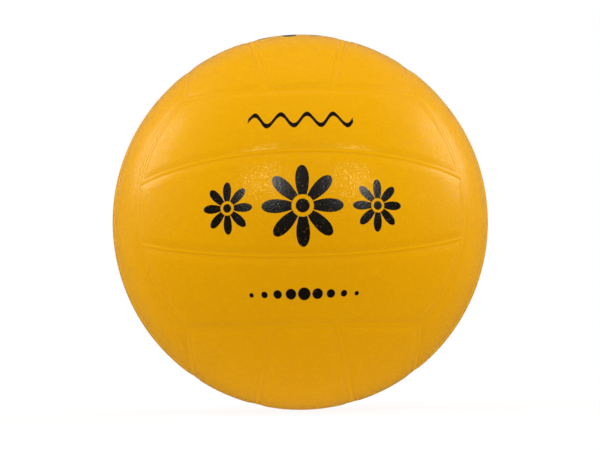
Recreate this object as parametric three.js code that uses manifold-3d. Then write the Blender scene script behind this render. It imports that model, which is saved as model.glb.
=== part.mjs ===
// Soft moulded volleyball. Eighteen cover panels lie in the pockets of a ribbed carcass, over a
// thread-wound bladder that carries a needle valve. Millimetres, +Z up, origin at the ball's centre.
// The front face looks along -Y and the valve points along +Y.
import * as THREE from 'three';
import { mergeVertices } from 'three/addons/utils/BufferGeometryUtils.js';
import Module from 'manifold-3d';

const wasm = await Module();
wasm.setup();

// Cover panels
const ballDiameter = 200;
const middlePanelWidth = 50.8; // of a face's middle panel, over the surface where it is widest
const panelThickness = 1.8;
const panelEdgeThickness = 0.9;
const panelEdgeWidth = 4.6; // of the rounded edge, over the surface

// Carcass
const ribWidth = 1.4;
const ribStand = 0.5; // of the rib's top above the panels' edges
const carcassThickness = 2.2; // under a panel

// Inner layers
const windingThickness = 0.6;
const bladderThickness = 1;
const layerClearance = 0.3;

// Valve housing
const neckWall = 1; // round the plug's head
const neckDrop = 0.5; // of the valve's face below the panels' crown
const neckClearance = 0.3;
const flangeReach = 8.4; // out from the neck
const flangeThickness = 1.4; // at the flange's rim
const stemWall = 1.2; // round the plug's shank
const stemLength = 12;

// Valve plug
const plugHeadDiameter = 6.6;
const plugHeadThickness = 1.2;
const plugShankDiameter = 5;
const plugLength = 20;
const plugTipChamfer = 0.8;
const plugClearance = 0.3;
const needleHoleDiameter = 1.8;
const needleLeadIn = 0.6;
const needleStopThickness = 5; // solid rubber between the needle hole and the plug's tip

// Facets
const stepsAlongPanel = 10;
const stepsAcrossPanel = 4;
const panelEdgeRings = 2;
const layerDetail = 4;
const roundSegments = 24;

// Radii of the layers, from the outside in
const crownRadius = ballDiameter / 2;
const panelUnderside = crownRadius - panelThickness;
const panelEdgeRadius = panelUnderside + panelEdgeThickness;
const ribTopRadius = panelEdgeRadius + ribStand;
const pocketFloor = panelUnderside - layerClearance;
const carcassInside = pocketFloor - carcassThickness;
const windingOutside = carcassInside - layerClearance;
const windingInside = windingOutside - windingThickness;
const bladderOutside = windingInside - layerClearance;
const bladderInside = bladderOutside - bladderThickness;
const flangeOutside = bladderInside - layerClearance;

// Valve diameters, from the plug out
const boreDiameter = plugShankDiameter + 2 * plugClearance;
const counterboreDiameter = plugHeadDiameter + 2 * plugClearance;
const stemDiameter = boreDiameter + 2 * stemWall;
const neckDiameter = counterboreDiameter + 2 * neckWall;
const neckHoleDiameter = neckDiameter + 2 * neckClearance;
const flangeDiameter = neckDiameter + 2 * flangeReach;
const valveFace = crownRadius - neckDrop;

// The ball divides like a cube: each face's long borders are planes at this share of the radius.
const borderSine = 1 / Math.sqrt(3);
const borderAngle = Math.asin(borderSine);
const dividerAngle = middlePanelWidth / 2 / crownRadius;

// Each face has three panels that run along one axis and lie side by side across another.
// Seen from outside, across is a quarter turn to the left of along.
const axisX = new THREE.Vector3(1, 0, 0);
const axisY = new THREE.Vector3(0, 1, 0);
const axisZ = new THREE.Vector3(0, 0, 1);
const [backX, backY, backZ] = [axisX, axisY, axisZ].map((axis) => axis.clone().negate());
const levels = ['lower', 'middle', 'upper'];
const depths = ['front', 'middle', 'rear'];
const widths = ['left', 'middle', 'right'];
const ballFaces = [
  { name: 'front', normal: backY, along: axisX, across: axisZ, panels: levels },
  { name: 'back', normal: axisY, along: backX, across: axisZ, panels: levels },
  { name: 'left', normal: backX, along: axisZ, across: axisY, panels: depths },
  { name: 'right', normal: axisX, along: backZ, across: axisY, panels: depths },
  { name: 'bottom', normal: backZ, along: axisY, across: axisX, panels: widths },
  { name: 'top', normal: axisZ, along: backY, across: axisX, panels: widths },
];

const coverRubber = { color: 0xe8a305, roughness: 0.48, metalness: 0 };
const carcassRubber = { color: 0xe0990a, roughness: 0.42, metalness: 0 };
const windingThread = { color: 0xe9e6dc, roughness: 0.85, metalness: 0 };
const bladderButyl = { color: 0x1d1c1b, roughness: 0.6, metalness: 0 };
const valveRubber = { color: 0x2a2723, roughness: 0.55, metalness: 0 };

// Planes that bound a panel's two long sides, each as across * a + normal * n = k on the unit ball.
// Every plane is moved into the panel by the inset angle.
function panelSides(place, inset) {
  const border = Math.sin(borderAngle - inset);
  const cosine = Math.cos(dividerAngle);
  const sine = Math.sin(dividerAngle);
  const shift = Math.sin(inset);
  if (place === 0) {
    return [{ a: 1, n: 0, k: -border }, { a: cosine, n: sine, k: -shift }];
  }
  if (place === 1) {
    return [{ a: cosine, n: sine, k: shift }, { a: cosine, n: -sine, k: -shift }];
  }
  return [{ a: cosine, n: -sine, k: shift }, { a: 1, n: 0, k: border }];
}

// A point of a panel: u runs from end to end (-1 to 1), v from side to side (0 to 1).
function panelPoint(face, sides, inset, radius, u, v) {
  const a = THREE.MathUtils.lerp(sides[0].a, sides[1].a, v);
  const n = THREE.MathUtils.lerp(sides[0].n, sides[1].n, v);
  const k = THREE.MathUtils.lerp(sides[0].k, sides[1].k, v);
  const length = Math.hypot(a, n);
  const offset = k / length;
  const sectionRadius = Math.sqrt(1 - offset * offset);
  const endNormal = Math.sin(borderAngle + inset);
  const endAcross = (k - n * endNormal) / a;
  const endAlong = Math.sqrt(1 - endNormal * endNormal - endAcross * endAcross);
  const turn = u * Math.asin(endAlong / sectionRadius);
  const rise = sectionRadius * Math.cos(turn);
  return new THREE.Vector3()
    .addScaledVector(face.along, sectionRadius * Math.sin(turn))
    .addScaledVector(face.across, (a * offset - n * rise) / length)
    .addScaledVector(face.normal, (n * offset + a * rise) / length)
    .multiplyScalar(radius);
}

// Rows of points over one panel, at a radius and with its sides moved in over the surface.
function panelGrid(face, place, insetLength, radius) {
  const inset = insetLength / crownRadius;
  const sides = panelSides(place, inset);
  const rows = [];
  for (let j = 0; j <= stepsAcrossPanel; j++) {
    const row = [];
    for (let i = 0; i <= stepsAlongPanel; i++) {
      const u = 2 * i / stepsAlongPanel - 1;
      row.push(panelPoint(face, sides, inset, radius, u, j / stepsAcrossPanel));
    }
    rows.push(row);
  }
  return rows;
}

// The rim of a grid, once round.
function gridRim(grid) {
  const last = grid.length - 1;
  const firstSide = grid[0];
  const farEnd = grid.slice(1, last).map((row) => row[row.length - 1]);
  const secondSide = [...grid[last]].reverse();
  const nearEnd = grid.slice(1, last).map((row) => row[0]).reverse();
  return [...firstSide, ...farEnd, ...secondSide, ...nearEnd];
}

function addQuad(points, p, q, r, s) {
  points.push(p, q, r, p, r, s);
}

function addGrid(points, grid) {
  for (let j = 1; j < grid.length; j++) {
    for (let i = 1; i < grid[j].length; i++) {
      addQuad(points, grid[j - 1][i - 1], grid[j - 1][i], grid[j][i], grid[j][i - 1]);
    }
  }
}

function addBand(points, lowerRim, upperRim) {
  lowerRim.forEach((point, i) => {
    const next = (i + 1) % lowerRim.length;
    addQuad(points, point, lowerRim[next], upperRim[next], upperRim[i]);
  });
}

// A closed solid from grids that lie over one another: the first is its underside, the last its top.
function stackedSolid(tiers) {
  const points = [];
  addGrid(points, tiers[0]);
  points.reverse(); // the underside faces inwards
  for (let i = 1; i < tiers.length; i++) {
    addBand(points, gridRim(tiers[i - 1]), gridRim(tiers[i]));
  }
  addGrid(points, tiers.at(-1));
  return solidOf(new THREE.BufferGeometry().setFromPoints(points));
}

// Welds a geometry's corners, drops flat triangles, turns it outside out and makes it a solid.
function solidOf(geometry) {
  const bare = new THREE.BufferGeometry();
  bare.setAttribute('position', geometry.getAttribute('position'));
  bare.setIndex(geometry.getIndex());
  const weldDistance = 1e-4;
  const welded = mergeVertices(bare, weldDistance);
  const corners = welded.getIndex().array;
  const position = welded.getAttribute('position');
  const [p, q, r] = [new THREE.Vector3(), new THREE.Vector3(), new THREE.Vector3()];
  const triangles = [];
  let volume = 0;
  for (let i = 0; i < corners.length; i += 3) {
    const [a, b, c] = corners.slice(i, i + 3);
    if (a === b || b === c || c === a) continue;
    triangles.push([a, b, c]);
    p.fromBufferAttribute(position, a);
    q.fromBufferAttribute(position, b);
    r.fromBufferAttribute(position, c);
    volume += p.dot(q.cross(r));
  }
  if (volume < 0) triangles.forEach((triangle) => triangle.reverse());
  return new wasm.Manifold(new wasm.Mesh({
    numProp: 3,
    vertProperties: new Float32Array(position.array),
    triVerts: new Uint32Array(triangles.flat()),
  }));
}

function geometryOf(solid) {
  const mesh = solid.getMesh();
  const geometry = new THREE.BufferGeometry();
  geometry.setAttribute('position', new THREE.BufferAttribute(mesh.vertProperties, 3));
  geometry.setIndex(new THREE.BufferAttribute(mesh.triVerts, 1));
  geometry.computeVertexNormals();
  return geometry;
}

function namedMesh(name, solid, finish) {
  const mesh = new THREE.Mesh(geometryOf(solid), new THREE.MeshStandardMaterial(finish));
  mesh.name = name;
  return mesh;
}

function ballSolid(radius, detail) {
  return solidOf(new THREE.IcosahedronGeometry(radius, detail));
}

// A round bar along the valve's axis, from one height above the ball's centre to another.
function valveBar(diameter, low, high) {
  const bar = new THREE.CylinderGeometry(diameter / 2, diameter / 2, high - low, roundSegments);
  return solidOf(bar.translate(0, (low + high) / 2, 0));
}

// The hole that the valve's neck needs through every layer.
function neckHole() {
  return valveBar(neckHoleDiameter, 0, ballDiameter);
}

// A panel's edge rounds down from the crown to the edge radius in a few rings.
function coverPanel(face, place) {
  const panelInset = ribWidth / 2 + layerClearance;
  const tiers = [panelGrid(face, place, panelInset, panelUnderside)];
  for (let ring = 0; ring <= panelEdgeRings; ring++) {
    const reach = ring / panelEdgeRings;
    const drop = (crownRadius - panelEdgeRadius) * (1 - reach) ** 2;
    tiers.push(panelGrid(face, place, panelInset + reach * panelEdgeWidth, crownRadius - drop));
  }
  return stackedSolid(tiers);
}

// Triangles between two runs of points that go the same way, the second to the left of the first.
function addZip(points, firstRun, secondRun, direction) {
  let i = 0;
  let k = 0;
  while (i + 1 < firstRun.length || k + 1 < secondRun.length) {
    const firstNext = i + 1 < firstRun.length ? firstRun[i + 1].dot(direction) : Infinity;
    const secondNext = k + 1 < secondRun.length ? secondRun[k + 1].dot(direction) : Infinity;
    if (firstNext <= secondNext) {
      points.push(firstRun[i], firstRun[i + 1], secondRun[k]);
      i += 1;
    } else {
      points.push(firstRun[i], secondRun[k + 1], secondRun[k]);
      k += 1;
    }
  }
}

function faceTowards(direction) {
  return ballFaces.find((face) => face.normal.dot(direction) > borderSine);
}

// The three panels' ends of a face that meet another face's long border, in that border's direction.
function endRun(brims, face, bordered) {
  const meetsAtFarEnd = face.along.dot(bordered.normal) > 0;
  const run = brims.get(face).flatMap((grid) => grid.map((row) => row.at(meetsAtFarEnd ? -1 : 0)));
  return face.across.dot(bordered.along) > 0 ? run : run.reverse();
}

// Rib tops: two between the panels of every face, one along every long border, and the corners.
function addRibTops(points, brims) {
  for (const face of ballFaces) {
    const [lowGrid, middleGrid, highGrid] = brims.get(face);
    addGrid(points, [lowGrid.at(-1), middleGrid[0]]);
    addGrid(points, [middleGrid.at(-1), highGrid[0]]);
    const highNeighbour = faceTowards(face.across);
    const lowNeighbour = faceTowards(face.across.clone().negate());
    addZip(points, highGrid.at(-1), endRun(brims, highNeighbour, face), face.along);
    addZip(points, endRun(brims, lowNeighbour, face), lowGrid[0], face.along);
  }
  for (const signX of [-1, 1]) {
    for (const signY of [-1, 1]) {
      for (const signZ of [-1, 1]) {
        addRibCorner(points, brims, new THREE.Vector3(signX, signY, signZ));
      }
    }
  }
}

function addRibCorner(points, brims, corner) {
  const sides = [axisX, axisY, axisZ].map((axis) => axis.clone().multiplyScalar(corner.dot(axis)));
  const corners = sides.map((side) => {
    const face = faceTowards(side);
    const grid = brims.get(face).at(face.across.dot(corner) > 0 ? -1 : 0);
    const row = grid.at(face.across.dot(corner) > 0 ? -1 : 0);
    return row.at(face.along.dot(corner) > 0 ? -1 : 0);
  });
  const turnsLeft = corner.x * corner.y * corner.z > 0;
  points.push(...(turnsLeft ? corners : corners.reverse()));
}

// One layer with a pocket for every panel and a rib between neighbouring pockets.
function ribbedCarcass() {
  const points = [];
  const brims = new Map();
  for (const face of ballFaces) {
    brims.set(face, face.panels.map((panelName, place) => {
      const floor = panelGrid(face, place, ribWidth / 2, pocketFloor);
      const brim = panelGrid(face, place, ribWidth / 2, ribTopRadius);
      addGrid(points, floor);
      addBand(points, gridRim(brim), gridRim(floor));
      return brim;
    }));
  }
  addRibTops(points, brims);
  const outside = solidOf(new THREE.BufferGeometry().setFromPoints(points));
  return outside.subtract(ballSolid(carcassInside, layerDetail)).subtract(neckHole());
}

function roundLayer(outside, inside) {
  return ballSolid(outside, layerDetail).subtract(ballSolid(inside, layerDetail)).subtract(neckHole());
}

// The flange lies against the bladder from inside, the neck reaches the cover, the stem hangs inside.
function valveHousing() {
  const flangeRim = Math.sqrt(flangeOutside ** 2 - (flangeDiameter / 2) ** 2);
  const flangeUnderside = flangeRim - flangeThickness;
  const flangeMiddle = flangeRim - flangeThickness / 2;
  const headSeat = valveFace - plugHeadThickness - plugClearance;
  return valveBar(flangeDiameter, flangeUnderside, crownRadius)
    .intersect(ballSolid(flangeOutside, layerDetail))
    .add(valveBar(neckDiameter, flangeUnderside, valveFace))
    .add(valveBar(stemDiameter, flangeUnderside - stemLength, flangeMiddle))
    .subtract(valveBar(boreDiameter, 0, ballDiameter))
    .subtract(valveBar(counterboreDiameter, headSeat, ballDiameter));
}

function valvePlug() {
  const headRadius = plugHeadDiameter / 2;
  const shankRadius = plugShankDiameter / 2;
  const needleRadius = needleHoleDiameter / 2;
  const tip = valveFace - plugLength;
  const needleFloor = tip + needleStopThickness;
  const headUnderside = valveFace - plugHeadThickness;
  const profile = [
    new THREE.Vector2(0, tip),
    new THREE.Vector2(shankRadius - plugTipChamfer, tip),
    new THREE.Vector2(shankRadius, tip + plugTipChamfer),
    new THREE.Vector2(shankRadius, headUnderside),
    new THREE.Vector2(headRadius, headUnderside),
    new THREE.Vector2(headRadius, valveFace),
    new THREE.Vector2(needleRadius + needleLeadIn, valveFace),
    new THREE.Vector2(needleRadius, valveFace - needleLeadIn),
    new THREE.Vector2(needleRadius, needleFloor),
    new THREE.Vector2(0, needleFloor),
  ];
  return solidOf(new THREE.LatheGeometry(profile, roundSegments));
}

const volleyball = new THREE.Group();

for (const face of ballFaces) {
  face.panels.forEach((panelName, place) => {
    const solid = coverPanel(face, place);
    const carriesValve = face.name === 'back' && panelName === 'middle';
    const panel = carriesValve ? solid.subtract(neckHole()) : solid;
    volleyball.add(namedMesh(`${face.name}_${panelName}_panel`, panel, coverRubber));
  });
}

volleyball.add(namedMesh('ribbed_carcass', ribbedCarcass(), carcassRubber));
volleyball.add(namedMesh('thread_winding', roundLayer(windingOutside, windingInside), windingThread));
volleyball.add(namedMesh('bladder', roundLayer(bladderOutside, bladderInside), bladderButyl));
volleyball.add(namedMesh('valve_housing', valveHousing(), valveRubber));
volleyball.add(namedMesh('valve_plug', valvePlug(), valveRubber));

export default volleyball;
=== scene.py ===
# Soft moulded volleyball: cover, seam ribs, winding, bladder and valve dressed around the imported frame
import math

import bpy
from mathutils import Matrix, Vector


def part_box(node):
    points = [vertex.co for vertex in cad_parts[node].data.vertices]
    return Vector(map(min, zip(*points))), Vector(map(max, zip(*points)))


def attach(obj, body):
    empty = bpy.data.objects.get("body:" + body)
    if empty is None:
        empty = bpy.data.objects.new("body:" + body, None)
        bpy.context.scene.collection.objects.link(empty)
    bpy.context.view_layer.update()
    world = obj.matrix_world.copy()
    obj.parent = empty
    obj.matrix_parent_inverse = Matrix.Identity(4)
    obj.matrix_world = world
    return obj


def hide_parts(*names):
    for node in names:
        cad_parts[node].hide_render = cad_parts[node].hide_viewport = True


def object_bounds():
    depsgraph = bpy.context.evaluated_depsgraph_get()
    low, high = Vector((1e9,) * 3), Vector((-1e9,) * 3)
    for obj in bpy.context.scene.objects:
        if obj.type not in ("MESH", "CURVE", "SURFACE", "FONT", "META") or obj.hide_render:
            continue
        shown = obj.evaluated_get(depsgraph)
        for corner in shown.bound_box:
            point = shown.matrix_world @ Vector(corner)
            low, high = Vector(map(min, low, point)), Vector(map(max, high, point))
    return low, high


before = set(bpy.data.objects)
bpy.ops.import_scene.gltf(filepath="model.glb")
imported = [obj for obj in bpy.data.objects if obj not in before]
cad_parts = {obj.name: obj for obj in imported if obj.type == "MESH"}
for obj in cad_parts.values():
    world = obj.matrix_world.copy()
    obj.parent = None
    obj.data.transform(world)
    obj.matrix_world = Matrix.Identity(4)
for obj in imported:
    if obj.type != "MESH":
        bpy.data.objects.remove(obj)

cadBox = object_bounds()
mm = 0.001
tiny = 0.01 * mm

ball = {
    "radius": (cadBox[1].x - cadBox[0].x) / 2,
    "middleWidth": 50.8 * mm,                    # middle panel at its widest
    "borderAngle": math.asin(1 / math.sqrt(3)),  # the six faces meet as a cube's do
}
radius = ball["radius"]
dividerTilt = ball["middleWidth"] / 2 / radius

# How each face lies: the way its panels run, the way they are counted, and their names in that order
faces = {
    "front": {"along": (1, 0, 0), "across": (0, 0, 1), "panels": ("lower", "middle", "upper")},
    "back": {"along": (-1, 0, 0), "across": (0, 0, 1), "panels": ("lower", "middle", "upper")},
    "left": {"along": (0, 0, 1), "across": (0, 1, 0), "panels": ("front", "middle", "rear")},
    "right": {"along": (0, 0, -1), "across": (0, 1, 0), "panels": ("front", "middle", "rear")},
    "bottom": {"along": (0, 1, 0), "across": (1, 0, 0), "panels": ("left", "middle", "right")},
    "top": {"along": (0, -1, 0), "across": (1, 0, 0), "panels": ("left", "middle", "right")},
}


def faceTurn(face):
    along = Vector(faces[face]["along"])
    across = Vector(faces[face]["across"])
    return Matrix((along, across, along.cross(across))).transposed()


print("frame loaded:", len(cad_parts), "nodes, ball radius", round(radius, 5))


class Wire:
    # A socket in a node tree: sums on it add Math nodes, and node() adds any other node
    def __init__(self, tree, socket=None):
        self.tree = tree
        self.socket = socket

    def feed(self, target, value):
        if isinstance(value, Wire):
            self.tree.links.new(value.socket, target)
        elif isinstance(value, list):
            for each in value:
                self.tree.links.new(each.socket, target)
        else:
            target.default_value = value

    def node(self, kind, settings=None, inputs=None, out=0):
        made = self.tree.nodes.new(kind)
        for name, value in (settings or {}).items():
            setattr(made, name, value)
        for name, value in (inputs or {}).items():
            self.feed(made.inputs[name], value)
        return Wire(self.tree, made.outputs[out] if len(made.outputs) else None)

    def other(self, name):
        return Wire(self.tree, self.socket.node.outputs[name])

    def math(self, operation, *others, clamp=False):
        settings = {"operation": operation, "use_clamp": clamp}
        return self.node("ShaderNodeMath", settings, dict(enumerate((self, *others))))

    def __add__(self, other):
        return self.math("ADD", other)

    __radd__ = __add__

    def __sub__(self, other):
        return self.math("SUBTRACT", other)

    def __rsub__(self, other):
        return self.node("ShaderNodeMath", {"operation": "SUBTRACT"}, {0: other, 1: self})

    def __mul__(self, other):
        return self.math("MULTIPLY", other)

    __rmul__ = __mul__

    def __truediv__(self, other):
        return self.math("DIVIDE", other)

    def __rtruediv__(self, other):
        return self.node("ShaderNodeMath", {"operation": "DIVIDE"}, {0: other, 1: self})

    def __lt__(self, other):
        return self.math("LESS_THAN", other)

    def __gt__(self, other):
        return self.math("GREATER_THAN", other)

    def clamped(self):
        return self.math("ADD", 0.0, clamp=True)

    def eased(self):
        share = self.clamped()
        return share * share * (3 - 2 * share)

    def sin(self):
        return self.math("SINE")

    def cos(self):
        return self.math("COSINE")

    def arcsin(self):
        return self.math("ARCSINE")

    def root(self):
        return self.math("SQRT")

    def size(self):
        return self.math("ABSOLUTE")

    def blended(self, low, high):
        return low + (high - low) * self

    def vector(self, x, y, z):
        return self.node("ShaderNodeCombineXYZ", None, {"X": x, "Y": y, "Z": z})

    def parts(self):
        split = self.node("ShaderNodeSeparateXYZ", None, {0: self})
        return split, split.other("Y"), split.other("Z")

    def vectorMath(self, operation, inputs, out=0):
        return self.node("ShaderNodeVectorMath", {"operation": operation}, {0: self, **inputs}, out)

    def scaled(self, length):
        return self.vectorMath("SCALE", {"Scale": length})

    def tinted(self, first, second):
        return self.node("ShaderNodeMix", {"data_type": "RGBA"}, {0: self, 6: first, 7: second}, 2)


def startMaterial(name):
    material = bpy.data.materials.new(name)
    material.use_nodes = True
    material.node_tree.nodes.clear()
    start = Wire(material.node_tree)
    return material, start, start.node("ShaderNodeTexCoord", out="Object")


def surfaceOf(start, sockets):
    return start.node("ShaderNodeBsdfPrincipled", None, sockets)


def closeMaterial(start, surface):
    start.node("ShaderNodeOutputMaterial", None, {"Surface": surface})


noiseDetail = {"plain": 1.0, "soft": 2.0, "cloudy": 3.0, "patchy": 4.0}


def noiseOn(place, size, detail=noiseDetail["soft"]):
    return place.node("ShaderNodeTexNoise", None, {"Vector": place, "Scale": 1 / size, "Detail": detail})


def cellsOn(place, size):
    return place.node("ShaderNodeTexVoronoi", None, {"Vector": place, "Scale": 1 / size})


# Golden yellow rubber with a fine pebble grain
coverRubber = {
    "yellow": (0.745, 0.356, 0.0006, 1),
    "deepYellow": (0.711, 0.325, 0.0005, 1),
    "paleYellow": (0.769, 0.385, 0.001, 1),
    "cloudSize": 38 * mm,
    "mottleSize": 3.2 * mm,
    "mottleContrast": 1.6,
    "grainSize": 1.1 * mm,
    "grainHeight": 0.09 * mm,
    "grainLow": 0.35,            # height of the flattest pebble
    "grainStart": 1.5 * mm,      # smooth and glossier strip beside the seam
    "grainFade": 1.0 * mm,
    "glintReach": 0.8,           # of a pebble, for those that catch the light
    "glintSoftness": 0.4,
    "stripGlint": 0.65,
    "roughness": 0.2,
    "roughnessSpread": 0.06,
    "dullSpecular": 0.05,
    "glintSpecular": 0.45,
    "specularTint": (1.0, 0.90, 0.36, 1),
}

# Screen print: black ink that lies thin in a few pits of the grain
printInk = {
    "black": (0.0040, 0.0025, 0.0012, 1),
    "roughness": 0.25,
    "specular": 0.4,
    "grain": 0.7,                # of the rubber's below it
    "wanderSize": 1.1 * mm,
    "speckSize": 0.55 * mm,
    "speckShare": 0.045,
    "speckReach": 0.36,          # of a speck's cell
    "speckThinness": 0.3,
    "edgeSoftness": 0.35,        # in millimetres over the ball, as are the prints below
    "edgeWander": 0.25,
}
rosettePrint = {"petals": 8, "fullness": 0.62, "eye": 0.17, "eyeGap": 0.27}
# Rosettes by their place along and across a face and their radius
middlePrint = ((0.0, -1.5, 19.5), (-36.5, -1.5, 12.5), (36.5, -1.5, 12.5))
topPrint = ((12.0, -4.0, 23.6),)
wavePrint = {"place": 42.0, "length": 56.0, "wave": 14.0, "swing": 3.2, "line": 2.6}
dotPrint = {"place": -44.0, "count": 9, "pitch": 7.0, "largest": 3.3, "smallest": 1.2}


def softEdge(depth):
    return (depth / printInk["edgeSoftness"] + 0.5).clamped()


def reachFrom(along, across, middle):
    fromAlong = along - middle[0]
    fromAcross = across - middle[1]
    return (fromAlong * fromAlong + fromAcross * fromAcross).root(), fromAlong.math("ARCTAN2", fromAcross)


def joinedMasks(masks):
    total = masks[0]
    for mask in masks[1:]:
        total = total.math("MAXIMUM", mask)
    return total


def rosettes(along, across, places):
    masks = []
    for *middle, size in places:
        reach, turn = reachFrom(along, across, middle)
        petal = (turn * (rosettePrint["petals"] / 2)).cos().size().math("POWER", rosettePrint["fullness"])
        petals = softEdge(petal * size - reach) * softEdge(reach - size * rosettePrint["eyeGap"])
        masks += [petals, softEdge(size * rosettePrint["eye"] - reach)]
    return joinedMasks(masks)


def waveLine(along, across, design):
    swing = (along * (2 * math.pi / design["wave"])).sin() * design["swing"]
    line = softEdge(design["line"] / 2 - (across - design["place"] - swing).size())
    return line * softEdge(design["length"] / 2 - along.size())


def dotRow(along, across, design):
    half = (design["count"] - 1) / 2
    masks = []
    for number in range(design["count"]):
        away = abs(number - half) / half
        size = design["largest"] + (design["smallest"] - design["largest"]) * away
        middle = ((number - half) * design["pitch"], design["place"])
        reach = reachFrom(along, across, middle)[0]
        masks.append(softEdge(size - reach))
    return joinedMasks(masks)


def faceMillimetres(place, face):
    # Millimetres over the ball from the middle of a face, along its panels and across them
    axes = faceTurn(face).transposed()
    shares = [place.vectorMath("DOT_PRODUCT", {1: axis}, "Value") for axis in axes]
    reach = radius / mm
    return shares[0].math("ARCTAN2", shares[2]) * reach, (shares[1] / radius).arcsin() * reach


def inkMask(place, face, motif, design):
    along, across = faceMillimetres(place, face)
    wander = (noiseOn(place, printInk["wanderSize"], noiseDetail["plain"]) - 0.5) * printInk["edgeWander"]
    ink = motif(along + wander, across + wander, design)
    cells = cellsOn(place, printInk["speckSize"])
    chosen = cells.other("Color").parts()[0] < printInk["speckShare"]
    return ink * (1 - chosen * (cells < printInk["speckReach"]) * printInk["speckThinness"])


def pebbleGrain(place):
    # Small domes packed side by side: how high the skin stands, and which domes catch the light
    cells = cellsOn(place, coverRubber["grainSize"])
    fullness, shine = cells.other("Color").parts()[:2]
    height = 1 - cells * cells * fullness.blended(coverRubber["grainLow"], 1.0)
    middle = ((coverRubber["glintReach"] - cells) / coverRubber["glintSoftness"]).clamped()
    glint = shine * shine * middle
    return height, glint


def grainBump(start, height, strength):
    return start.node("ShaderNodeBump", None, {
        "Strength": strength, "Distance": coverRubber["grainHeight"], "Height": height})


def coverMaterial(name, face=None, motif=None, design=None):
    material, start, place = startMaterial(name)
    mottle = noiseOn(place, coverRubber["mottleSize"])
    clouds = noiseOn(place, coverRubber["cloudSize"], noiseDetail["cloudy"])
    colour = clouds.tinted(coverRubber["deepYellow"], coverRubber["yellow"])
    pale = ((mottle - 0.5) * coverRubber["mottleContrast"]).clamped()
    colour = pale.tinted(colour, coverRubber["paleYellow"])
    seamDistance = start.node("ShaderNodeAttribute", {"attribute_name": "seamDistance"}, None, "Fac")
    grainShare = ((seamDistance - coverRubber["grainStart"]) / coverRubber["grainFade"]).eased()
    pebbles, glint = pebbleGrain(place)
    height = pebbles * grainShare
    shared = {
        "Base Color": colour,
        "Roughness": coverRubber["roughness"] + (mottle - 0.5) * coverRubber["roughnessSpread"],
        "Normal": grainBump(start, height, 1.0),
        "Specular Tint": coverRubber["specularTint"],
    }
    dull = surfaceOf(start, {**shared, "Specular IOR Level": coverRubber["dullSpecular"]})
    glossy = surfaceOf(start, {**shared, "Specular IOR Level": coverRubber["glintSpecular"]})
    glintShare = grainShare.blended(coverRubber["stripGlint"], glint)
    surface = start.node("ShaderNodeMixShader", None, {0: glintShare, 1: dull, 2: glossy})
    if motif:
        film = surfaceOf(start, {
            "Base Color": printInk["black"], "Roughness": printInk["roughness"],
            "Normal": grainBump(start, height, printInk["grain"]),
            "Specular IOR Level": printInk["specular"]})
        ink = inkMask(place, face, motif, design)
        surface = start.node("ShaderNodeMixShader", None, {0: ink, 1: surface, 2: film})
    closeMaterial(start, surface)
    return material


# The ribs are the same rubber, left smooth and dull by the mould
ribRubber = {
    "yellow": (0.735, 0.350, 0.001, 1),
    "deepYellow": (0.712, 0.334, 0.0008, 1),
    "roughness": 0.3,
    "specular": 0.015,
}


def ribMaterial():
    material, start, place = startMaterial("ribRubber")
    mottle = noiseOn(place, coverRubber["mottleSize"])
    closeMaterial(start, surfaceOf(start, {
        "Base Color": mottle.tinted(ribRubber["deepYellow"], ribRubber["yellow"]),
        "Roughness": ribRubber["roughness"], "Specular IOR Level": ribRubber["specular"]}))
    return material


# Nylon winding thread, black butyl with a little mould dust, and dull black valve rubber
innerFinishes = {
    "nylonThread": {"dark": (0.66, 0.64, 0.57, 1), "light": (0.86, 0.85, 0.80, 1), "patch": 2.5 * mm,
                    "roughness": 0.62, "grain": 0.25 * mm, "height": 0.03 * mm},
    "butylRubber": {"dark": (0.010, 0.010, 0.009, 1), "light": (0.034, 0.033, 0.031, 1), "patch": 14 * mm,
                    "roughness": 0.70, "grain": 0.9 * mm, "height": 0.02 * mm},
    "valveRubber": {"dark": (0.013, 0.012, 0.011, 1), "light": (0.030, 0.028, 0.026, 1), "patch": 1.6 * mm,
                    "roughness": 0.55, "grain": 0.3 * mm, "height": 0.012 * mm},
}
innerGrain = {"bumpStrength": 0.6, "roughnessSpread": 0.2}    # alike on all three


def innerMaterial(name):
    finish = innerFinishes[name]
    material, start, place = startMaterial(name)
    patches = noiseOn(place, finish["patch"], noiseDetail["patchy"])
    bump = start.node("ShaderNodeBump", None, {
        "Strength": innerGrain["bumpStrength"], "Distance": finish["height"],
        "Height": noiseOn(place, finish["grain"])})
    closeMaterial(start, surfaceOf(start, {
        "Base Color": patches.tinted(finish["dark"], finish["light"]),
        "Roughness": finish["roughness"] + (patches - 0.5) * innerGrain["roughnessSpread"],
        "Normal": bump}))
    return material


plainCover = coverMaterial("coverRubber")
printedCovers = {
    "front_middle_panel": coverMaterial("coverRubberRosettes", "front", rosettes, middlePrint),
    "front_upper_panel": coverMaterial("coverRubberWave", "front", waveLine, wavePrint),
    "front_lower_panel": coverMaterial("coverRubberDots", "front", dotRow, dotPrint),
    "top_middle_panel": coverMaterial("coverRubberRosette", "top", rosettes, topPrint),
}
ribCoat = ribMaterial()
innerCoats = {name: innerMaterial(name) for name in innerFinishes}
print("materials ready:", len(bpy.data.materials))

# Shared by the trees below
meshing = {
    "gridRim": 0.9999,           # grid points past this share lie on its rim
    "weldReach": 0.002 * mm,
    "drillSides": 64,
    "drillDepth": 20 * mm,
    "sharpAngle": 34.0,          # degrees between faces that still shade as one
}


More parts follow.
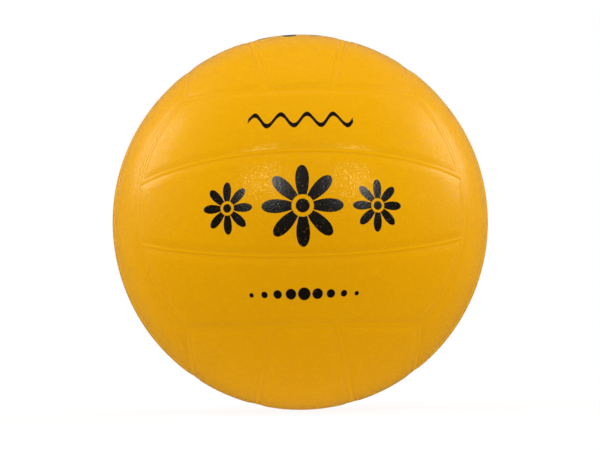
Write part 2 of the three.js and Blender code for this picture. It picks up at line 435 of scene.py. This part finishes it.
def startTree(name, lengths, counts=()):
    tree = bpy.data.node_groups.new(name, "GeometryNodeTree")
    tree.interface.new_socket("Geometry", in_out="OUTPUT", socket_type="NodeSocketGeometry")
    kinds = {**dict.fromkeys(lengths, "NodeSocketFloat"), **dict.fromkeys(counts, "NodeSocketInt"),
             "Material": "NodeSocketMaterial"}
    for label, kind in kinds.items():
        tree.interface.new_socket(label, in_out="INPUT", socket_type=kind)
    entry = tree.nodes.new("NodeGroupInput")
    return tree, Wire(tree), {label: Wire(tree, entry.outputs[label]) for label in kinds}


def closeTree(start, shape, material):
    smooth = start.node("GeometryNodeSetShadeSmooth", None, {"Geometry": shape})
    real = start.node("GeometryNodeRealizeInstances", None, {"Geometry": smooth})
    painted = start.node("GeometryNodeSetMaterial", None, {"Geometry": real, "Material": material})
    start.node("NodeGroupOutput", None, {"Geometry": painted})


def squareGrid(start, along, across):
    # A grid from -1 to 1 both ways, which the trees below bend into shape
    grid = start.node("GeometryNodeMeshGrid", None, {
        "Size X": 2.0, "Size Y": 2.0, "Vertices X": along, "Vertices Y": across})
    x, y = start.node("GeometryNodeInputPosition").parts()[:2]
    return grid, x, y


def movedTo(grid, position):
    return grid.node("GeometryNodeSetPosition", None, {"Geometry": grid, "Position": position})


def flipped(shape):
    return shape.node("GeometryNodeFlipFaces", None, {"Mesh": shape})


def joined(start, shapes):
    return start.node("GeometryNodeJoinGeometry", None, {"Geometry": shapes})


def welded(start, shapes):
    return start.node("GeometryNodeMergeByDistance", None, {
        "Geometry": joined(start, shapes), "Distance": meshing["weldReach"]})


def cutAway(shape, cutters):
    return shape.node("GeometryNodeMeshBoolean", {"operation": "DIFFERENCE", "solver": "EXACT"},
                      {"Mesh 1": shape, "Mesh 2": cutters})


def valveDrill(start, hole, depth, middle, turn=(0, 0, 0)):
    drill = start.node("GeometryNodeMeshCylinder", None, {
        "Vertices": meshing["drillSides"], "Radius": hole, "Depth": depth})
    return start.node("GeometryNodeTransform", None, {
        "Geometry": drill, "Translation": middle, "Rotation": turn})


def placed(name, data):
    item = bpy.data.objects.new(name, data)
    bpy.context.scene.collection.objects.link(item)
    return item


def makePlain(piece):
    # What the modifiers make becomes the piece's own mesh
    evaluated = piece.evaluated_get(bpy.context.evaluated_depsgraph_get())
    piece.data = bpy.data.meshes.new_from_object(evaluated)
    piece.modifiers.clear()
    piece.data.name = piece.name


def growPiece(name, tree, values):
    piece = placed(name, bpy.data.meshes.new(name))
    grower = piece.modifiers.new("grow", "NODES")
    grower.node_group = tree
    for socket in tree.interface.items_tree:
        if socket.in_out == "INPUT":
            grower[socket.identifier] = values[socket.name]
    makePlain(piece)
    return piece


def dress(piece, body):
    piece.data.set_sharp_from_angle(angle=math.radians(meshing["sharpAngle"]))
    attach(piece, body)
    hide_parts(piece.name.replace("_skin", ""))
    print("made", piece.name, len(piece.data.polygons), "faces")


# Cover panels: bent strips whose edges roll down into the seams
coverPanels = {
    "Ball Radius": radius,
    "End Angle": ball["borderAngle"],
    "Inset": 0.85 * mm,               # from the seam's middle to the panel's edge
    "Edge Start": 1.3 * mm,           # half the width of the valley's floor
    "Edge Width": 3.8 * mm,           # from the floor up to the crown
    "Edge Drop": 0.31 * mm,
    "Crown Width": 18 * mm,
    "Crown Drop": 0.08 * mm,
    "Corner Round": 2.5 * mm,
    "Swell": 0.25 * mm,               # soft unevenness of the moulded skin
    "Swell Size": 48 * mm,
    "Thickness": 1.8 * mm,
    "Valve Hole": 0.0,
    "Dish Width": 9 * mm,             # shallow dish that leads to the valve
    "Dish Depth": 0.0,
    "Steps Along": 128,
    "Steps Across": 52,
}
valvePanel = {"Valve Hole": 4.9 * mm, "Dish Depth": 0.35 * mm, "Steps Along": 220, "Steps Across": 120}


def panelTree():
    lengths = ["Low Tilt", "Low Offset", "High Tilt", "High Offset", "Seed"]
    lengths += [name for name in coverPanels if not name.startswith("Steps")]
    tree, start, sizes = startTree("coverPanel", lengths, ("Steps Along", "Steps Across"))
    reach = sizes["Ball Radius"]
    inset = sizes["Inset"] / reach
    cornerRound = sizes["Corner Round"] / reach
    underside = reach - sizes["Thickness"]
    grid, x, y = squareGrid(start, sizes["Steps Along"], sizes["Steps Across"])
    along = (x * (math.pi / 2)).sin()            # closer together towards the edges
    across = (y * (math.pi / 2)).sin() * 0.5 + 0.5

    def sidePlane(tilt, angle):
        return tilt.cos(), tilt.sin() * -1, angle.sin()

    # The strip sweeps from the plane of its low side to the plane of its high side
    lowSide = sidePlane(sizes["Low Tilt"], sizes["Low Offset"] + inset)
    highSide = sidePlane(sizes["High Tilt"], sizes["High Offset"] - inset)
    upShare, outShare, level = [across.blended(low, high) for low, high in zip(lowSide, highSide)]
    length = (upShare * upShare + outShare * outShare).root()
    offset = level / length
    section = (1 - offset * offset).root()
    endNormal = (sizes["End Angle"] + inset).sin()
    endAcross = (level - outShare * endNormal) / upShare
    endAlong = (1 - endNormal * endNormal - endAcross * endAcross).root()
    turn = along * (endAlong / section).arcsin()
    rise = section * turn.cos()
    sweep = section * turn.sin()
    direction = start.vector(sweep, (upShare * offset - outShare * rise) / length,
                             (outShare * offset + upShare * rise) / length)

    def seamDistance(outward):
        up, normal = outward.parts()[1:]
        low = (up * lowSide[0] + normal * lowSide[1]).arcsin() - sizes["Low Offset"]
        high = sizes["High Offset"] - (up * highSide[0] + normal * highSide[1]).arcsin()
        end = normal.arcsin() - sizes["End Angle"]
        nearest = low.math("SMOOTH_MIN", high, cornerRound).math("SMOOTH_MIN", end, cornerRound)
        return nearest * reach

    fromSeam = seamDistance(direction)
    edge = (1 - (fromSeam - sizes["Edge Start"]) / sizes["Edge Width"]).eased()
    crown = 1 - (fromSeam / sizes["Crown Width"]).clamped()
    side, up = direction.parts()[:2]
    fromValve = (side * side + up * up).root() * reach
    dish = (1 - fromValve / sizes["Dish Width"]).eased() * sizes["Dish Depth"]
    swell = start.node("ShaderNodeTexNoise", {"noise_dimensions": "4D"}, {
        "Vector": direction, "W": sizes["Seed"], "Scale": reach / sizes["Swell Size"],
        "Detail": noiseDetail["plain"]})
    drop = edge * sizes["Edge Drop"] + crown * crown * sizes["Crown Drop"] + dish
    skin = reach - drop + (swell - 0.5) * sizes["Swell"]
    rim = x.size().math("MAXIMUM", y.size()) > meshing["gridRim"]
    outside = movedTo(grid, direction.scaled(rim.blended(skin, underside)))
    inside = flipped(movedTo(grid, direction.scaled(underside)))
    whole = welded(start, [outside, inside])

    hole = sizes["Valve Hole"].math("MAXIMUM", mm)
    drill = valveDrill(start, hole, meshing["drillDepth"], start.vector(0.0, 0.0, reach))
    drilled = start.node("GeometryNodeSwitch", {"input_type": "GEOMETRY"}, {
        "Switch": sizes["Valve Hole"] > 0.0, "False": whole, "True": cutAway(whole, [drill])})
    outward = start.node("GeometryNodeInputPosition").vectorMath("NORMALIZE", {})
    marked = start.node("GeometryNodeStoreNamedAttribute", {"data_type": "FLOAT", "domain": "POINT"}, {
        "Geometry": drilled, "Name": "seamDistance", "Value": seamDistance(outward)})
    closeTree(start, marked, sizes["Material"])
    return tree


border = ball["borderAngle"]
panelSides = (   # tilt and offset of a panel's low and high side, counted across a face
    {"Low Tilt": 0.0, "Low Offset": -border, "High Tilt": -dividerTilt, "High Offset": 0.0},
    {"Low Tilt": -dividerTilt, "Low Offset": 0.0, "High Tilt": dividerTilt, "High Offset": 0.0},
    {"Low Tilt": dividerTilt, "Low Offset": 0.0, "High Tilt": 0.0, "High Offset": border},
)
bentPanel = panelTree()
seed = 0
for face, layout in faces.items():
    for sides, panel in zip(panelSides, layout["panels"]):
        seed += 1
        node = f"{face}_{panel}_panel"
        coat = printedCovers.get(node, plainCover)
        values = {**coverPanels, **sides, "Seed": float(seed), "Material": coat}
        if node == "back_middle_panel":
            values.update(valvePanel)
        piece = growPiece(node + "_skin", bentPanel, values)
        piece.data.transform(faceTurn(face).to_4x4())
        dress(piece, "ball")

# Round layers with a hole for the valve: carcass body, winding bed and bladder
layerLengths = ("Outside", "Inside", "Valve Hole")
valveHole = valvePanel["Valve Hole"]
bladder = {"Outside": 94.5 * mm, "Inside": 93.5 * mm, "Valve Hole": valveHole, "Detail": 5}


def layerTree():
    tree, start, sizes = startTree("roundLayer", layerLengths, ("Detail",))
    outside, inside = [start.node("GeometryNodeMeshIcoSphere", None, {
        "Radius": sizes[name], "Subdivisions": sizes["Detail"]}) for name in ("Outside", "Inside")]
    middle = start.vector(0.0, sizes["Outside"], 0.0)
    drill = valveDrill(start, sizes["Valve Hole"], sizes["Inside"], middle, (math.pi / 2, 0, 0))
    closeTree(start, cutAway(outside, [inside, drill]), sizes["Material"])
    return tree


def layerIn(start, roundLayer, sizes):
    inputs = {name: sizes[name] for name in (*layerLengths, "Detail", "Material")}
    return start.node("GeometryNodeGroup", {"node_tree": roundLayer}, inputs)


# Carcass: a bead of rubber stands up along every seam
carcass = {
    "Outside": 97.9 * mm, "Inside": 95.7 * mm, "Valve Hole": valveHole, "Detail": 5,
    "Bead Width": 2.1 * mm, "Bead Height": 0.20 * mm,        # between the panels of a face
    "Border Width": 2.1 * mm, "Border Height": 0.05 * mm,    # where two faces meet
    "Bead Flank": 1.05 * mm,
    "Bead Foot": radius - 0.41 * mm,                         # from the ball's middle
    "Bead Root": 1.7 * mm,                                   # below the foot
    "Overshoot": 0.9 * mm,                                   # past the seam's end
    "Steps Along": 96, "Steps Round": 37,
}
beadLengths = ("Bead Width", "Bead Height", "Bead Flank", "Bead Foot", "Bead Root", "Overshoot")
borderLengths = ("Border Width", "Border Height")


def beadTree():
    lengths = (*beadLengths, "Tilt", "Offset", "Half Turn")
    tree, start, sizes = startTree("seamBead", lengths, ("Steps Along", "Steps Round"))
    grid, x, y = squareGrid(start, sizes["Steps Along"], sizes["Steps Round"])
    foot = sizes["Bead Foot"]
    side = (y * math.pi).cos()
    up = (y * math.pi).sin()
    flatTop = ((1 - side.size()) * sizes["Bead Width"] / 2 / sizes["Bead Flank"]).eased()
    standing = up > 0.0
    closing = x.size() > meshing["gridRim"]
    lift = standing.blended(up * sizes["Bead Root"], flatTop * sizes["Bead Height"])
    level = foot + lift * (1 - closing)
    latitude = sizes["Offset"] + side * (1 - closing) * sizes["Bead Width"] / 2 / foot
    turn = x * (sizes["Half Turn"] + sizes["Overshoot"] / (foot * sizes["Offset"].cos()))
    ringward = latitude.cos() * turn.cos()
    tiltCos = sizes["Tilt"].cos()
    tiltSin = sizes["Tilt"].sin()
    direction = start.vector(latitude.cos() * turn.sin(), latitude.sin() * tiltCos + ringward * tiltSin,
                             ringward * tiltCos - latitude.sin() * tiltSin)
    bead = welded(start, [flipped(movedTo(grid, direction.scaled(level)))])
    closeTree(start, bead, sizes["Material"])
    return tree


def carcassTree(roundLayer):
    counts = ("Detail", "Steps Along", "Steps Round")
    tree, start, sizes = startTree("ribbedCarcass", (*layerLengths, *beadLengths, *borderLengths), counts)
    seamBead = beadTree()
    dividerHalf = math.acos(math.sin(border) / math.cos(dividerTilt))
    divider = {name: sizes[name] for name in (*beadLengths, "Steps Along", "Steps Round", "Material")}
    edge = {**divider, "Bead Width": sizes["Border Width"], "Bead Height": sizes["Border Height"]}
    seams = ((divider, dividerTilt, 0.0, dividerHalf), (divider, -dividerTilt, 0.0, dividerHalf),
             (edge, 0.0, border, math.pi / 4), (edge, 0.0, -border, math.pi / 4))
    beads = []
    for profile, tilt, offset, half in seams:
        values = {**profile, "Tilt": tilt, "Offset": offset, "Half Turn": half}
        beads.append(start.node("GeometryNodeGroup", {"node_tree": seamBead}, values))
    faceBeads = joined(start, beads)
    turned = [start.node("GeometryNodeTransform", None, {
        "Geometry": faceBeads, "Rotation": faceTurn(face).to_euler()}) for face in faces]
    body = layerIn(start, roundLayer, sizes)
    closeTree(start, joined(start, [body, *turned]), sizes["Material"])
    return tree


# Winding: one nylon thread laid over the bladder in great circles that keep turning
winding = {
    "Outside": 95.05 * mm, "Inside": 94.8 * mm, "Valve Hole": valveHole, "Detail": 5,
    "Thread": 0.3 * mm, "Turns": 130.0, "Swings": 11.5, "Valve Room": 6 * mm,
    "Steps Along": 5200, "Steps Round": 6,
}
threadLengths = ("Thread", "Turns", "Swings", "Valve Room")


def windingTree(roundLayer):
    counts = ("Detail", "Steps Along", "Steps Round")
    tree, start, sizes = startTree("threadWinding", (*layerLengths, *threadLengths), counts)
    grid, x, y = squareGrid(start, sizes["Steps Along"], sizes["Steps Round"])
    share = x * 0.5 + 0.5
    turn = share * sizes["Turns"] * (2 * math.pi)
    swing = share * sizes["Swings"] * (2 * math.pi)
    tilt = share * (math.pi / 2)
    flat = turn.sin() * tilt.cos()
    path = start.vector(swing.cos() * turn.cos() - swing.sin() * flat,
                        swing.sin() * turn.cos() + swing.cos() * flat, turn.sin() * tilt.sin())
    beside = start.vector(swing.sin() * tilt.sin(), swing.cos() * tilt.sin() * -1, tilt.cos())
    thick = sizes["Thread"] / 2 * (1 - (x.size() > meshing["gridRim"]))
    level = sizes["Outside"] + sizes["Thread"] / 2 + (y * math.pi).cos() * thick
    strand = path.scaled(level).vectorMath("ADD", {1: beside.scaled((y * math.pi).sin() * thick)})
    sideX, sideY, sideZ = strand.parts()
    fromValve = (sideX * sideX + sideZ * sideZ).root() + tiny
    spread = (sideY > 0.0).blended(1.0, (sizes["Valve Room"] / fromValve).math("MAXIMUM", 1.0))
    clear = start.vector(sideX * spread, sideY, sideZ * spread)
    thread = welded(start, [flipped(movedTo(grid, clear))])
    bed = layerIn(start, roundLayer, sizes)
    closeTree(start, joined(start, [bed, thread]), sizes["Material"])
    return tree


roundLayer = layerTree()
layers = {   # tree, sizes, coat and slot
    "ribbed_carcass": (carcassTree(roundLayer), carcass, ribCoat, "carcass_rubber"),
    "thread_winding": (windingTree(roundLayer), winding, innerCoats["nylonThread"], "winding_thread"),
    "bladder": (roundLayer, bladder, innerCoats["butylRubber"], "bladder_butyl"),
}
for node, (tree, sizes, coat, slot) in layers.items():
    dress(growPiece(node + "_skin", tree, {**sizes, "Material": coat}), "ball")

# Valve: a turned housing with a flange under the bladder, and the plug that the needle goes through
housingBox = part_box("valve_housing")
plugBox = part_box("valve_plug")
valveHousing = {
    "face": housingBox[1].y, "foot": housingBox[0].y, "flangeRadius": housingBox[1].x,
    "neckRadius": 4.6 * mm, "counterboreRadius": 3.6 * mm, "headRoom": 1.5 * mm, "boreRadius": 2.8 * mm,
    "stemRadius": 4.0 * mm, "flangeThickness": 1.4 * mm, "flangeOutside": 93.2 * mm,
    "bevel": 0.22 * mm,
}
valvePlug = {
    "face": plugBox[1].y, "tip": plugBox[0].y, "headRadius": plugBox[1].x, "headThickness": 1.2 * mm,
    "shankRadius": 2.5 * mm, "tipChamfer": 0.8 * mm, "needleRadius": 0.9 * mm, "needleLeadIn": 0.6 * mm,
    "needleStop": 5 * mm, "bevel": 0.18 * mm,
}
turning = {"segments": 72, "bevelSteps": 4, "bevelAngle": 20.0}


def turnedPiece(name, profile, closed, bevel, material):
    # The profile goes round the valve's axis; points on the axis become one vertex
    points = []
    rings = []
    for reach, height in profile:
        if reach < tiny:
            rings.append([len(points)] * turning["segments"])
            points.append((0, height, 0))
            continue
        rings.append(range(len(points), len(points) + turning["segments"]))
        for step in range(turning["segments"]):
            angle = 2 * math.pi * step / turning["segments"]
            points.append((reach * math.sin(angle), height, reach * math.cos(angle)))
    pairs = list(zip(rings, rings[1:]))
    if closed:
        pairs.append((rings[-1], rings[0]))
    quads = []
    for lower, upper in pairs:
        for step in range(turning["segments"]):
            after = (step + 1) % turning["segments"]
            corners = (lower[step], lower[after], upper[after], upper[step])
            quads.append(tuple(dict.fromkeys(corners)))
    mesh = bpy.data.meshes.new(name)
    mesh.from_pydata(points, [], quads)
    mesh.polygons.foreach_set("use_smooth", [True] * len(quads))
    mesh.materials.append(material)
    piece = placed(name, mesh)
    edge = piece.modifiers.new("roundedEdges", "BEVEL")
    edge.width = bevel
    edge.segments = turning["bevelSteps"]
    edge.limit_method = "ANGLE"
    edge.angle_limit = math.radians(turning["bevelAngle"])
    makePlain(piece)
    return piece


def housingProfile(sizes):
    flangeRim = math.sqrt(sizes["flangeOutside"] ** 2 - sizes["flangeRadius"] ** 2)
    underside = flangeRim - sizes["flangeThickness"]
    neckFoot = math.sqrt(sizes["flangeOutside"] ** 2 - sizes["neckRadius"] ** 2)
    headSeat = sizes["face"] - sizes["headRoom"]
    return [
        (sizes["boreRadius"], sizes["foot"]), (sizes["stemRadius"], sizes["foot"]),
        (sizes["stemRadius"], underside), (sizes["flangeRadius"], underside),
        (sizes["flangeRadius"], flangeRim), (sizes["neckRadius"], neckFoot),
        (sizes["neckRadius"], sizes["face"]), (sizes["counterboreRadius"], sizes["face"]),
        (sizes["counterboreRadius"], headSeat), (sizes["boreRadius"], headSeat),
    ]


def plugProfile(sizes):
    underHead = sizes["face"] - sizes["headThickness"]
    holeEnd = sizes["tip"] + sizes["needleStop"]
    return [
        (0, sizes["tip"]), (sizes["shankRadius"] - sizes["tipChamfer"], sizes["tip"]),
        (sizes["shankRadius"], sizes["tip"] + sizes["tipChamfer"]), (sizes["shankRadius"], underHead),
        (sizes["headRadius"], underHead), (sizes["headRadius"], sizes["face"]),
        (sizes["needleRadius"] + sizes["needleLeadIn"], sizes["face"]),
        (sizes["needleRadius"], sizes["face"] - sizes["needleLeadIn"]),
        (sizes["needleRadius"], holeEnd), (0, holeEnd),
    ]


dress(turnedPiece("valve_housing_skin", housingProfile(valveHousing), True, valveHousing["bevel"],
                  innerCoats["valveRubber"]), "ball")
dress(turnedPiece("valve_plug_skin", plugProfile(valvePlug), False, valvePlug["bevel"],
                  innerCoats["valveRubber"]), "plug")

# Camera: the ball fills the frame as in the photograph, seen from a little below its printed face
photo = {"width": 600, "height": 450, "ballMiddle": (300.3, 222.2), "focalPixels": 1466.0, "sensor": 36.0}
camera = {"distance": 0.7875, "nearest": 0.01, "yaw": 0.739, "pitch": -5.357, "roll": -1.221}
ballTurn = (Matrix.Rotation(math.radians(camera["roll"]), 3, "Y")
            @ Matrix.Rotation(math.radians(camera["pitch"]), 3, "X")
            @ Matrix.Rotation(math.radians(camera["yaw"]), 3, "Z"))
toFrame = ballTurn.transposed()            # from right, forward and up of the view to the frame
lens = bpy.data.cameras.new("camera")
lens.sensor_fit = "HORIZONTAL"
lens.sensor_width = photo["sensor"]
lens.lens = photo["focalPixels"] / photo["width"] * photo["sensor"]
lens.shift_x = (photo["width"] / 2 - photo["ballMiddle"][0]) / photo["width"]
lens.shift_y = (photo["ballMiddle"][1] - photo["height"] / 2) / photo["width"]
lens.clip_start = camera["nearest"]
eye = placed("camera", lens)
viewTurn = toFrame @ Matrix.Rotation(math.radians(90), 3, "X")
eye.matrix_world = Matrix.Translation(toFrame @ Vector((0, -camera["distance"], 0))) @ viewTurn.to_4x4()
bpy.context.scene.camera = eye

# Studio: a dim room with a soft box behind each side and one above the front, a dark wall behind the ball,
# a glowing table below it, and two lamps beside the camera and higher
leftFront = (-0.36, -0.83, 0.40)     # right, forward and up of the ball, for the two lamps
rightFront = (0.50, -0.77, 0.39)
straightBack = (0.0, 1.0, 0.0)
studio = {
    "surround": 0.58,
    "mirrored": 0.08,            # how bright the room and the floor are in gloss
    "mirroredBehind": 0.13,      # the same for the floor behind the ball
    "behindReach": 0.1,
    "floorHalf": 4.0,
    "floorColour": 0.86,
    "floorGlow": 0.684,          # light that the floor sends up to the ball
    "tableGlow": 1.356,          # the same right below the ball
    "tableReach": 0.24,
    "bounce": (1.02, 0.95, 0.85, 1),     # warm from the ball itself
    "shadowShare": 0.10,         # of the lit floor that shows around the ball
    "shadowReach": 0.5,
}
# What the ball sees in the room: where, half width and soft edge in degrees, level on matt and in gloss
softBoxes = {
    "leftBox": {"from": (-0.83, 0.40, 0.30), "half": 30, "edge": 16, "matt": 2.6, "gloss": 0.0},
    "rightBox": {"from": (0.83, 0.40, 0.30), "half": 30, "edge": 16, "matt": 2.6, "gloss": 0.0},
    "leftSheen": {"from": (-0.83, 0.37, 0.40), "half": 10, "edge": 9, "matt": 0.0, "gloss": 3.1},
    "rightSheen": {"from": (0.83, 0.37, 0.40), "half": 10, "edge": 9, "matt": 0.0, "gloss": 3.1},
    "topBox": {"from": (0.0, -0.56, 0.83), "half": 26, "edge": 14, "matt": 0.78, "gloss": 0.0},
    "darkWall": {"from": straightBack, "half": 40, "edge": 30, "matt": -studio["surround"], "gloss": 0.0},
    "rimSheen": {"from": (0.0, 0.96, 0.28), "half": 12, "edge": 32, "matt": 0.0, "gloss": 0.15},
    "overheadSheen": {"from": (0.0, 0.16, 0.98), "half": 14, "edge": 14, "matt": 0.0, "gloss": 0.3},
    "leftGlint": {"from": leftFront, "half": 8, "edge": 3, "matt": 0.0, "gloss": 6.0},
    "rightGlint": {"from": rightFront, "half": 8, "edge": 3, "matt": 0.0, "gloss": 6.0},
}
frontLamps = {
    "leftLamp": {"from": leftFront, "distance": 1.4, "size": 0.45, "power": 2.0},
    "rightLamp": {"from": rightFront, "distance": 1.4, "size": 0.45, "power": 2.0},
}


def rayShares(start):
    rays = start.node("ShaderNodeLightPath")
    return rays.math("MAXIMUM", rays.other("Is Transmission Ray")), rays.other("Is Glossy Ray")


def fromBall(place):
    return toFrame @ Vector(place).normalized()


def whiteWorld():
    world = bpy.data.worlds.new("studio")
    bpy.context.scene.world = world
    world.use_nodes = True
    world.cycles.sampling_method = "NONE"
    world.node_tree.nodes.clear()
    start = Wire(world.node_tree)
    outward = start.node("ShaderNodeTexCoord", out="Generated")
    matt = studio["surround"]
    gloss = studio["mirrored"]
    for sizes in softBoxes.values():
        inner = math.cos(math.radians(sizes["half"]))
        outer = math.cos(math.radians(sizes["half"] + sizes["edge"]))
        facing = outward.vectorMath("DOT_PRODUCT", {1: fromBall(sizes["from"])}, "Value")
        box = ((facing - outer) / (inner - outer)).eased()
        matt = box * sizes["matt"] + matt
        gloss = box * sizes["gloss"] + gloss
    seen, mirrored = rayShares(start)
    level = seen.blended(mirrored.blended(matt, gloss), 1.0)
    white = start.node("ShaderNodeBackground", None, {"Color": (1, 1, 1, 1), "Strength": level})
    start.node("ShaderNodeOutputWorld", None, {"Surface": white})


def paleFloor():
    half = studio["floorHalf"]
    ground = cadBox[0].z
    mesh = bpy.data.meshes.new("floor")
    corners = [(-half, -half, ground), (half, -half, ground), (half, half, ground), (-half, half, ground)]
    mesh.from_pydata(corners, [], [(0, 1, 2, 3)])
    floor = placed("floor", mesh)
    material, start, place = startMaterial("paleFloor")
    away = place.vectorMath("LENGTH", {}, "Value")
    far = (away / studio["shadowReach"] - 1.0).eased()
    glow = (1 - away / studio["tableReach"]).eased().blended(studio["floorGlow"], studio["tableGlow"])
    behind = place.vectorMath("DOT_PRODUCT", {1: fromBall(straightBack)}, "Value")
    gloss = (behind / studio["behindReach"]).eased().blended(studio["mirrored"], studio["mirroredBehind"])
    seen, mirrored = rayShares(start)
    whiteShare = seen.blended(1.0, far.blended(1 - studio["shadowShare"], 1.0))
    level = seen.blended(mirrored.blended(glow, gloss), 1.0)
    grey = studio["floorColour"]
    lit = start.node("ShaderNodeBsdfDiffuse", None, {"Color": (grey, grey, grey, 1)})
    plain = start.node("ShaderNodeEmission", None, {
        "Color": seen.tinted(studio["bounce"], (1, 1, 1, 1)), "Strength": level})
    surface = start.node("ShaderNodeMixShader", None, {0: whiteShare, 1: lit, 2: plain})
    closeMaterial(start, surface)
    material.cycles.emission_sampling = "NONE"
    mesh.materials.append(material)


def frontLamp(name, sizes):
    light = bpy.data.lights.new(name, "AREA")
    light.size = sizes["size"]
    light.energy = sizes["power"]
    lamp = placed(name, light)
    place = fromBall(sizes["from"]) * sizes["distance"]
    lamp.matrix_world = Matrix.Translation(place) @ place.to_track_quat("Z", "Y").to_matrix().to_4x4()
    lamp.visible_camera = False


whiteWorld()
paleFloor()
for name, sizes in frontLamps.items():
    frontLamp(name, sizes)
bpy.context.scene.view_settings.view_transform = "Standard"
print("camera and studio ready")
